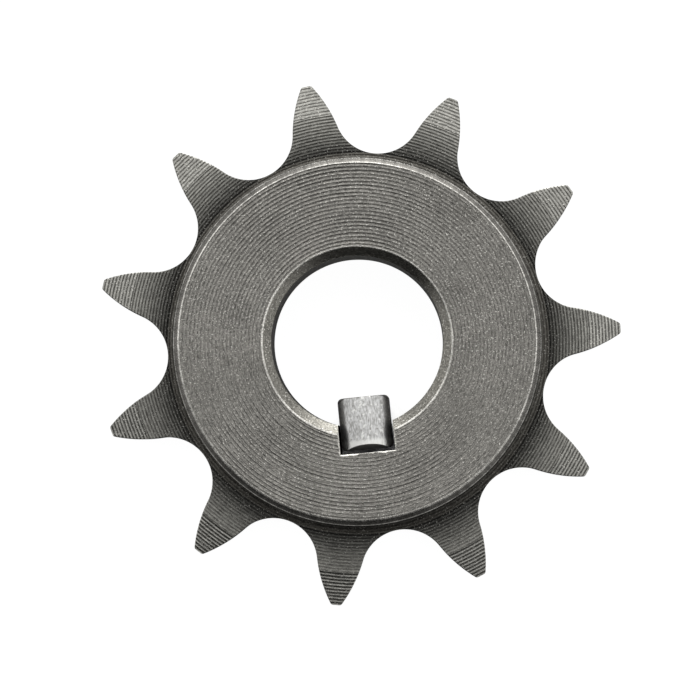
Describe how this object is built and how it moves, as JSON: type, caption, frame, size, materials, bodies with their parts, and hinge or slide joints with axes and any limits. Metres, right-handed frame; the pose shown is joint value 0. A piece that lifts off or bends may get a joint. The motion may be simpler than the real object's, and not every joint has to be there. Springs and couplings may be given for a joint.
{
  "type": "chain sprocket",
  "caption": "Small roller chain sprocket turned from steel with a raised hub on one side, a chamfered keyed bore, and its loose parallel key standing in the keyway.",
  "frame": {"origin": "on the bore axis, at the flat back face of the tooth plate that the sprocket lies on", "axes": "+Z along the bore axis from the back face to the hub face, and -Y from the axis through the middle of the keyway"},
  "size_m": [0.0498, 0.05, 0.01],
  "materials": {
    "turned_steel": "dry turned, with fine concentric tool marks and a dull grey surface",
    "key_steel": "bright ground, with fine streaks along its height"
  },
  "bodies": {
    "root": {"sprocket": "turned_steel", "key": "key_steel"}
  },
  "joints": []
}
